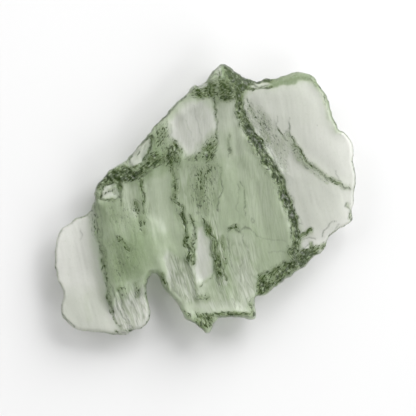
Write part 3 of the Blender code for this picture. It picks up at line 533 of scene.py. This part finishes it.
# The flutes, which run down the sheet and lean to the right, and other unevenness, in millimetres
FLUTE_TILT = np.radians(12)
FLUTE_WIDTH = 0.8
FLUTE_LENGTH = 4.0
PLATE_FLUTES = 0.025
BODY_FLUTES = 0.035
FINE_FLUTES = 0.012
FINE_FLUTE_WIDTH = 0.25
FINE_FLUTE_LENGTH = 2.0
UNEVENNESS = 0.05
UNDERSIDE_WAVES = 0.10

# How far the drawn edges wander, and over what distance, in millimetres
WANDER = 0.2
WANDER_LENGTH = 0.9
FINE_WANDER = 0.10
FINE_WANDER_LENGTH = 0.35
CHIPS = 0.07

# Fine threads run straight down the sheet to this height, and bend right below it
THREAD_TOP = 17.0
THREAD_BEND = 0.013

# Glass: how much light one metre of it takes away is ABSORPTION_DENSITY times 1 - colour
ABSORPTION_COLOUR = (0.751, 0.823, 0.6925, 1.0)
ABSORPTION_DENSITY = 220.0
GLASS_TINT = (0.91, 0.905, 0.875, 1.0)
GLASS_CLARITY = 0.7
GLASS_IOR = 1.49
GLASS_ROUGHNESS = 0.28
GLASS_SHEEN = 0.25

# The view: what the camera sees at the shard's middle height, and its centre, in millimetres
VIEW_WIDTH = 41.6
VIEW_CENTRE = (20.8, 20.8)
VIEW_HEIGHT = 1.2
LENS = 200.0
SENSOR = 36.0

# The light on the floor, and each lamp's azimuth, elevation and share of it. The sky gives the rest.
LIGHT = 1.65
LAMP_DISTANCE = 0.6
LAMP_SIZE = 0.45
LAMPS = ((-45, 32, 0.16), (15, 33, 0.18), (55, 32, 0.4), (105, 34, 0.08), (150, 34, 0.12))


def smooth(t):
    """A smooth step from 0 to 1."""
    t = np.clip(t, 0, 1)
    return t * t * (3 - 2 * t)


def noise(u, v, seed):
    """Smooth noise from -1 to 1, with one cell for each unit of u and v."""
    table = np.random.default_rng(seed).uniform(-1, 1, (64, 64))
    column, row = np.floor(u).astype(int), np.floor(v).astype(int)
    su, sv = smooth(u - column), smooth(v - row)
    corner = [[table[(column + i) % 64, (row + j) % 64] for j in (0, 1)] for i in (0, 1)]
    near = corner[0][0] * (1 - sv) + corner[0][1] * sv
    far = corner[1][0] * (1 - sv) + corner[1][1] * sv
    return near * (1 - su) + far * su


def line_place(x, y, points, closed=False):
    """How far each place is from a line through the points, with its side, and how far along."""
    ends = list(zip(points, points[1:] + points[:1] if closed else points[1:]))
    nearest, across, along, start = np.full_like(x, 1e9), np.zeros_like(x), np.zeros_like(x), 0
    for (ax, ay), (bx, by) in ends:
        dx, dy = bx - ax, by - ay
        length = np.hypot(dx, dy)
        share = np.clip(((x - ax) * dx + (y - ay) * dy) / length ** 2, 0, 1)
        away = np.hypot(x - ax - share * dx, y - ay - share * dy)
        closer = away < nearest
        side = np.sign(dx * (y - ay) - dy * (x - ax))
        nearest = np.where(closer, away, nearest)
        across = np.where(closer, away * side, across)
        along = np.where(closer, start + share * length, along)
        start += length
    return nearest, across, along


def line_distance(x, y, points, closed=False):
    """How far each place is from a line through the points."""
    return line_place(x, y, points, closed)[0]


def inside(x, y, corners):
    """True where a place lies inside the polygon."""
    found = np.zeros(x.shape, bool)
    for (ax, ay), (bx, by) in zip(corners, corners[1:] + corners[:1]):
        if ay != by:
            found ^= ((ay > y) != (by > y)) & (x < ax + (y - ay) * (bx - ax) / (by - ay))
    return found


def area(x, y, corners, edge):
    """1 well inside the polygon, 0 well outside, and a smooth slope as wide as edge between."""
    away = line_distance(x, y, corners, closed=True)
    away = np.where(inside(x, y, corners), away, -away)
    return smooth(away / edge + 0.5)


def ridge_shape(away):
    """A rounded crest, from 1 on its line to nearly 0 at twice its half width."""
    return np.exp(-(away ** 2))


def ridge(x, y, points, half_width):
    """A rounded crest along the points, from 0 to 1."""
    return ridge_shape(line_distance(x, y, points) / half_width)


def flutes(x, y, width, length, seed):
    """Long shallow waves that run down the sheet, leaning to the right."""
    bend = 0.6 * noise(x / 5, y / 5, seed + 1)
    across = x * np.cos(FLUTE_TILT) - y * np.sin(FLUTE_TILT) + bend
    along = x * np.sin(FLUTE_TILT) + y * np.cos(FLUTE_TILT)
    return noise(across / width, along / length, seed)


def warped(x, y):
    """The same places, shifted a little, which makes drawn edges ragged."""
    moved = []
    for place, seed in ((x, 11), (y, 12)):
        wide = WANDER * noise(x / WANDER_LENGTH, y / WANDER_LENGTH, seed)
        fine = FINE_WANDER * noise(x / FINE_WANDER_LENGTH, y / FINE_WANDER_LENGTH, seed + 2)
        moved.append(place + wide + fine)
    return moved


def speckle(x, y):
    """A broken pattern of pits, from 0 to about 2, which averages 1."""
    grain = noise(x / 0.26, y / 0.34, 81) + 0.7 * noise(x / 0.14, y / 0.19, 82)
    return np.clip(1 + 1.3 * grain, 0, 2.2)


def turned(x, y, degrees):
    """The places measured across and along a direction on the sheet."""
    angle = np.radians(degrees)
    return -x * np.sin(angle) + y * np.cos(angle), x * np.cos(angle) + y * np.sin(angle)


def etching(x, y):
    """How dark and pitted the skin is, in millimetres of glass, and where that is in its streaks."""
    wx, wy = warped(x, y)
    dark = np.full_like(x, PLAIN_SKIN)
    lie = np.stack([*turned(x, y, 90), np.zeros_like(x)])
    number = 0
    for depth, edge, degrees, corners in ETCHED_AREAS:
        number += 1
        here = depth * area(wx, wy, corners, 2 * edge)
        place = np.stack([*turned(x, y, degrees), np.full_like(x, number)])
        lie = np.where(here > dark, place, lie)
        dark = np.maximum(dark, here)
    for depth, half_width, points in ETCHED_LINES:
        number += 1
        away, across, along = line_place(wx, wy, points)
        here = depth * ridge_shape(away / half_width)
        place = np.stack([across, along, np.full_like(x, number)])
        lie = np.where(here > dark, place, lie)
        dark = np.maximum(dark, here)
    uneven = np.clip(1 + 0.6 * noise(x / 0.8, y / 1.1, 83), 0.4, 1.5)
    return (dark - PLAIN_SKIN) * uneven * covered(x, y), lie


def covered(x, y):
    """1 on the green ground, and down to 0 in the clear windows."""
    wx, wy = warped(x, y)
    kept = np.ones_like(x)
    for share, edge, corners in WINDOWS:
        kept *= 1 - share * area(wx, wy, corners, edge)
    return kept


def thread_run(x, y):
    """The places measured across and along the threads, which bend right down the sheet."""
    bend = THREAD_BEND * np.maximum(y - THREAD_TOP, 0) ** 2
    return np.stack([x - bend, y, np.zeros_like(x)])


def streaks(x, y):
    """How strongly the skin is streaked, from 0 to about 1."""
    wx, wy = warped(x, y)
    found = 0.06 + 0.2 * area(x, y, BODY, BODY_EDGE)
    for strength, edge, corners in STREAKED_AREAS:
        found = np.maximum(found, strength * area(wx, wy, corners, edge))
    return found


def creases(x, y):
    """How dark the thin creases are, from 0 to 1."""
    wx, wy = warped(x, y)
    return np.max([dark * ridge(wx, wy, points, half_width)
                   for dark, half_width, *lines in HAIRLINES for points in lines], 0)


def edge_line(x, y, outline):
    """A thin broken dark line just inside the outline, in millimetres of glass."""
    away = line_distance(x, y, outline, closed=True)
    broken = np.clip(0.9 + 0.9 * noise(x / 1.1, y / 1.1, 91), 0, 1.6)
    return EDGE_LINE * broken * ridge_shape(away / EDGE_LINE_WIDTH)


def hollows(x, y):
    """How much the windows and panes take off the thickness, in millimetres."""
    return sum(-rise * area(x, y, corners, edge + SOFTNESS)
               for rise, edge, corners in AREAS if rise < 0)


def greenness(x, y, softness, rise_share, ridge_share):
    """The green ground's depth in millimetres, with those shares of its rises and its ridges."""
    body = area(x, y, BODY, BODY_EDGE + 2 * softness)
    made = PLATE_THICKNESS + (BODY_THICKNESS - PLATE_THICKNESS) * body
    for rise, edge, corners in AREAS:
        made += rise * (rise_share if rise > 0 else 1) * area(x, y, corners, edge + softness)
    for rise, half_width, points in STROKES:
        made += rise * ridge_share * ridge(x, y, points, half_width + softness / 3)
    return made


def thickness(x, y):
    """The shard's thickness away from its rim, in millimetres."""
    body = area(x, y, BODY, BODY_EDGE)
    made = greenness(x, y, SOFTNESS, RISE_RELIEF, RIDGE_RELIEF)
    made += (PLATE_FLUTES + BODY_FLUTES * body) * flutes(x, y, FLUTE_WIDTH, FLUTE_LENGTH, 21)
    made += FINE_FLUTES * flutes(x, y, FINE_FLUTE_WIDTH, FINE_FLUTE_LENGTH, 23)
    made += UNEVENNESS * noise(x / 1.3, y / 1.3, 31)
    pitted = np.clip((etching(x, y)[0] - PITTED_FROM) / (FULLY_ETCHED - PITTED_FROM), 0, 1)
    made -= PIT_DEPTH * pitted * speckle(x, y)
    return np.maximum(made, THINNEST)


def underside(x, y):
    """The height of the underside. It is flat at 0 where the shard rests."""
    lift = sum(rise * area(x, y, corners, LIFT_EDGE) for rise, corners in LIFTS)
    waves = 1 + flutes(x, y, 2 * FLUTE_WIDTH, FLUTE_LENGTH, 41) + noise(x / 3, y / 3, 51)
    free = 1 - area(x, y, REST_FACET, FACET_EDGE)
    step = STEP_BELOW * (1 - area(x, y, BODY, BODY_EDGE + 2 * SOFTNESS))
    lift = lift + UNDERSIDE_WAVES * waves
    raised = (lift + step + np.hypot(lift - step, STEP_BLEND) - STEP_BLEND) / 2 * free
    return raised + HOLLOWS_BELOW * hollows(x, y)


def rim(x, y, outline):
    """The share of the full thickness that each place has: it falls off round the edge."""
    away = line_distance(x, y, outline, closed=True)
    width = RIM_WIDTH * (1.4 + 0.6 * noise(x / 2.2, y / 2.2, 61))
    inward = np.clip(away / width, 0, 1)
    return np.sqrt(1 - (1 - inward) ** 2)


def outline_points():
    """The outline as points close together, on a smooth curve through OUTLINE."""
    curve = bpy.data.curves.new("outline", "CURVE")
    curve.resolution_u = 8
    spline = curve.splines.new("BEZIER")
    spline.bezier_points.add(len(OUTLINE) - 1)
    spline.use_cyclic_u = True
    for point, place in zip(spline.bezier_points, OUTLINE):
        point.co = (*place, 0)
        point.handle_left_type = point.handle_right_type = "AUTO"
    guide = bpy.data.objects.new("outline", curve)
    places = np.array([(v.co.x, v.co.y) for v in guide.to_mesh().vertices])
    bpy.data.objects.remove(guide)
    bpy.data.curves.remove(curve)
    x, y = places.T
    chips = [CHIPS * (noise(x / 0.5, y / 0.5, seed) + 0.6 * noise(x / 0.2, y / 0.2, seed + 2))
             for seed in (71, 72)]
    return [tuple(place) for place in (places + np.stack(chips, 1)).tolist()]


def sheet(outline, step):
    """Places and triangles that fill the outline, the outline's own places first."""
    corners = np.array(outline)
    low, high = corners.min(0), corners.max(0)
    rows = np.arange(low[1], high[1], step * np.sqrt(0.75))
    columns = np.arange(low[0], high[0], step)
    x, y = np.meshgrid(columns, rows)
    x = (x + np.where(np.arange(len(rows)) % 2, step / 2, 0)[:, None]).ravel()
    y = y.ravel()
    kept = inside(x, y, outline) & (line_distance(x, y, outline, closed=True) > step / 2)
    places = [Vector(p) for p in outline + list(zip(x[kept], y[kept]))]
    edges = [(i, (i + 1) % len(outline)) for i in range(len(outline))]
    filled = delaunay_2d_cdt(places, edges, [], 1, 1e-6, False)
    places, faces = np.array(filled[0]), np.array(filled[2])
    x, y = places[faces].mean(1).T
    return places, faces[inside(x, y, outline)]


def surfaces(places, outline):
    """The heights of the underside and of the top."""
    x, y = places.T
    share = rim(x, y, outline)
    full = thickness(x, y)
    base = underside(x, y) + UNDERCUT * np.minimum(full / BODY_THICKNESS, 1) * (1 - share)
    return base, base + RIM_EDGE + (full - RIM_EDGE) * share


def paint(mesh, top, low, outline):
    """The skin's colour and etching, kept on the mesh's points. The underside's skin is plain."""
    x, y = top.T
    wx, wy = warped(x, y)
    ground = greenness(wx, wy, 0, RISE_GREEN, 1) - PLATE_THICKNESS
    # The olive stains, and below 0 the painted light that lifts the shade of the left ledge's slope
    stains_and_painted_light = sum(depth * area(wx, wy, corners, edge) for depth, edge, corners in STAINS_AND_PAINTED_LIGHT)
    layers = np.outer(ground, GROUND_TINT) + np.outer(stains_and_painted_light, STAIN_TINT)
    layers *= covered(x, y)[:, None]
    tint = np.exp(-layers) * (1 + BODY_LIGHTER * area(x, y, BODY, BODY_EDGE))[:, None]
    tint = np.concatenate([tint, np.ones((len(low), 3))]) * GLASS_TINT[:3]
    colours = mesh.color_attributes.new("skin_tint", "FLOAT_COLOR", "POINT")
    colours.data.foreach_set("color", np.c_[tint, np.ones(len(tint))].ravel())
    dark, lie = etching(x, y)
    etched = (dark + edge_line(x, y, outline)) / FULLY_ETCHED
    below = np.stack([*low.T, np.full(len(low), -1.0)])
    for name, places in (("lie", lie), ("run", thread_run(x, y))):
        places = np.concatenate([places.T, below.T])
        mesh.attributes.new(name, "FLOAT_VECTOR", "POINT").data.foreach_set("vector", places.ravel())
    layers = (("etched", etched), ("streaked", streaks(x, y)), ("creased", creases(x, y)))
    for name, values in layers:
        values = np.concatenate([values, np.zeros(len(low))])
        mesh.attributes.new(name, "FLOAT", "POINT").data.foreach_set("value", values)


def shard_mesh():
    """The shard's closed mesh: a fine top, a coarser underside, and a rim wall between them."""
    outline = outline_points()
    top, top_faces = sheet(outline, TOP_STEP)
    low, low_faces = sheet(outline, UNDERSIDE_STEP)
    heights = np.concatenate([surfaces(top, outline)[1], surfaces(low, outline)[0]])
    x, y = np.concatenate([top, low]).T
    middle_x, middle_y = (x.min() + x.max()) / 2, (y.min() + y.max()) / 2
    places = np.stack([x - middle_x, middle_y - y, heights], 1) * MM
    ring, count = len(outline), len(top)
    walls = [(count + i, count + (i + 1) % ring, (i + 1) % ring, i) for i in range(ring)]
    faces = top_faces[:, ::-1].tolist() + (low_faces + count).tolist() + walls
    mesh = bpy.data.meshes.new("moldavite_shard")
    mesh.from_pydata(places.tolist(), [], faces)
    mesh.shade_smooth()
    paint(mesh, top, low, outline)
    return mesh


def set_inputs(node, values):
    """Sets the node's own sockets, by name."""
    for name, value in values.items():
        node.inputs[name].default_value = value


class Shading:
    """Adds nodes to a material."""

    def __init__(self, material):
        material.use_nodes = True
        self.nodes = material.node_tree.nodes
        self.links = material.node_tree.links

    def attribute(self, name, output="Fac"):
        """What the mesh's points carry under that name."""
        node = self.nodes.new("ShaderNodeAttribute")
        node.attribute_name = name
        return node.outputs[output]

    def maths(self, operation, *values):
        """A maths node. Each value is a number or another node's output."""
        node = self.nodes.new("ShaderNodeMath")
        node.operation = operation
        for socket, value in zip(node.inputs, values):
            if isinstance(value, (int, float)):
                socket.default_value = value
            else:
                self.links.new(value, socket)
        return node.outputs[0]

    def ramp(self, value, slope, offset):
        """The value times the slope, plus the offset, held between 0 and 1."""
        clamp = self.nodes.new("ShaderNodeClamp")
        self.links.new(self.maths("MULTIPLY_ADD", value, slope, offset), clamp.inputs["Value"])
        return clamp.outputs["Result"]

    def grain(self, place_name, width, length, detail):
        """Noise in cells that wide across the streaks and that long along them."""
        stretch = self.nodes.new("ShaderNodeMapping")
        set_inputs(stretch, {"Scale": (1 / width, 1 / length, 7.3)})
        texture = self.nodes.new("ShaderNodeTexNoise")
        set_inputs(texture, {"Scale": 1.0, "Detail": detail, "Roughness": 0.6, "Distortion": 0.6})
        self.links.new(self.attribute(place_name, "Vector"), stretch.inputs["Vector"])
        self.links.new(stretch.outputs["Vector"], texture.inputs["Vector"])
        return texture.outputs["Fac"]

    def hairlines(self, value, width):
        """Thin wandering lines, 1 on the line, where the noise passes through its middle value."""
        away = self.maths("ABSOLUTE", self.maths("SUBTRACT", value, 0.5))
        near = self.maths("SUBTRACT", 1.0, self.maths("DIVIDE", away, width))
        return self.maths("MAXIMUM", near, 0.0)

    def mixed(self, share, colour, other):
        """The colour, turned towards another one by that share."""
        mix = self.nodes.new("ShaderNodeMix")
        mix.data_type = "RGBA"
        self.links.new(share, mix.inputs["Factor"])
        self.links.new(colour, mix.inputs["A"])
        mix.inputs["B"].default_value = (*other, 1)
        return mix.outputs["Result"]


def skin(shading):
    """The etched skin's colour, with pale flecks that are partly painted highlights, and its height for the
    bump.
    """
    ramp, maths = shading.ramp, shading.maths
    etched, streaked = shading.attribute("etched"), shading.attribute("streaked")
    crumb = shading.grain("lie", *CRUMB)
    present = ramp(etched, *ANY_ETCHING)
    level = maths("MINIMUM", maths("MULTIPLY_ADD", etched, CRUMB_GROWTH, FEWEST_CRUMBS), MOST_CRUMBS)
    dark = maths("MULTIPLY", ramp(crumb, CRUMB_SLOPE, level), present)
    broken = maths("MULTIPLY", ramp(crumb, *BROKEN_CREASES), shading.attribute("creased"))
    dark = maths("MAXIMUM", dark, broken)
    # Pale flecks among the crumbs, partly painted highlights for the glints of the pits; they also raise
    # the bump
    flecks_and_glints = maths("MULTIPLY", ramp(crumb, *PALE_CRUMBS_AND_GLINTS), present)
    uneven = maths("MULTIPLY_ADD", shading.grain("lie", *PATCHES), *WASH)
    wash = ramp(maths("MULTIPLY", etched, uneven), 1.0, 0.0)
    threads = shading.hairlines(shading.grain("run", *THREADS), THREAD_WIDTH)
    threads = ramp(maths("MULTIPLY", streaked, threads), DARK_SHARE, 0.0)
    pale = shading.hairlines(shading.grain("run", *PALE_THREADS), PALE_WIDTH)
    pale = ramp(maths("MULTIPLY", streaked, pale), PALE_SHARE, 0.0)
    mottle = shading.grain("run", *MOTTLE)
    colour = shading.attribute("skin_tint", "Color")
    for share, other in ((ramp(mottle, *PALE_MOTTLE), PALE_TINT),
                         (ramp(mottle, *DARK_MOTTLE), OLIVE_TINT),
                         (pale, PALE_TINT), (threads, OLIVE_TINT), (wash, OLIVE_TINT),
                         (ramp(etched, *DEEP_ETCHING), DEEP_TINT),
                         (flecks_and_glints, FLECK_AND_GLINT_TINT), (dark, CREASE_TINT)):
        colour = shading.mixed(share, colour, other)
    return colour, maths("SUBTRACT", flecks_and_glints, dark)


def glass():
    """Pale green see-through glass with an etched satin skin, dark and crinkled on its ledges."""
    material = bpy.data.materials.new("moldavite_glass")
    shading = Shading(material)
    nodes, links = shading.nodes, shading.links
    shader = nodes["Principled BSDF"]
    colour, height = skin(shading)
    links.new(colour, shader.inputs["Base Color"])
    bump = nodes.new("ShaderNodeBump")
    set_inputs(bump, {"Strength": 0.5, "Distance": 0.04 * MM})
    links.new(height, bump.inputs["Height"])
    links.new(bump.outputs["Normal"], shader.inputs["Normal"])
    set_inputs(shader, {"Roughness": GLASS_ROUGHNESS, "IOR": GLASS_IOR,
                        "Specular IOR Level": GLASS_SHEEN, "Transmission Weight": GLASS_CLARITY})
    absorb = nodes.new("ShaderNodeVolumeAbsorption")
    set_inputs(absorb, {"Color": ABSORPTION_COLOUR, "Density": ABSORPTION_DENSITY})
    links.new(absorb.outputs["Volume"], nodes["Material Output"].inputs["Volume"])
    return material


def make_shard():
    """The shard stands for the CAD node of the same stone."""
    mesh = shard_mesh()
    mesh.materials.append(glass())
    shard = bpy.data.objects.new("moldavite_shard", mesh)
    bpy.context.scene.collection.objects.link(shard)
    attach(shard, "root")
    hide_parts("moldavite")


def make_floor():
    """A wide pale floor, just clear of the flat facet."""
    bpy.ops.mesh.primitive_plane_add(size=1.5, location=(0, 0, -0.05 * MM))
    floor = bpy.context.object
    floor.name = "floor"
    material = bpy.data.materials.new("floor_white")
    material.use_nodes = True
    shader = material.node_tree.nodes["Principled BSDF"]
    set_inputs(shader, {"Base Color": (0.7, 0.7, 0.7, 1), "Roughness": 1.0})
    floor.data.materials.append(material)


def add_light(name, azimuth, elevation, irradiance):
    """A square soft light that gives the floor that irradiance, seen at those angles."""
    turn, rise = np.radians(azimuth), np.radians(elevation)
    flat = LAMP_DISTANCE * np.cos(rise)
    place = Vector((flat * np.cos(turn), flat * np.sin(turn), LAMP_DISTANCE * np.sin(rise)))
    lamp = bpy.data.lights.new(name, "AREA")
    lamp.shape = "SQUARE"
    lamp.size = LAMP_SIZE
    lamp.energy = irradiance * np.pi * LAMP_DISTANCE ** 2 / np.sin(rise)
    light = bpy.data.objects.new(name, lamp)
    light.location = place
    light.rotation_euler = (-place).to_track_quat("-Z", "Y").to_euler()
    bpy.context.scene.collection.objects.link(light)


def make_lights():
    """Soft lamps from the lower right round to the upper left, and an even pale sky."""
    sky = LIGHT
    for number, (azimuth, elevation, share) in enumerate(LAMPS):
        add_light(f"lamp_{number}", azimuth, elevation, share * LIGHT * np.pi)
        sky -= share * LIGHT
    world = bpy.data.worlds.new("sky")
    world.use_nodes = True
    set_inputs(world.node_tree.nodes["Background"], {"Color": (1, 1, 1, 1), "Strength": sky})
    bpy.context.scene.world = world


def make_camera():
    """Straight down, with the sheet's upper edge at the top of the picture."""
    camera = bpy.data.objects.new("camera", bpy.data.cameras.new("camera"))
    camera.data.lens = LENS
    camera.data.sensor_width = SENSOR
    outline = np.array(OUTLINE)
    middle = (outline.min(0) + outline.max(0)) / 2
    distance = VIEW_WIDTH * LENS / SENSOR
    x, y = VIEW_CENTRE[0] - middle[0], middle[1] - VIEW_CENTRE[1]
    camera.location = Vector((x, y, VIEW_HEIGHT + distance)) * MM
    camera.data.clip_start = 0.01
    bpy.context.scene.collection.objects.link(camera)
    bpy.context.scene.camera = camera


make_shard()
make_floor()
make_lights()
make_camera()
bpy.context.scene.view_settings.view_transform = "Standard"
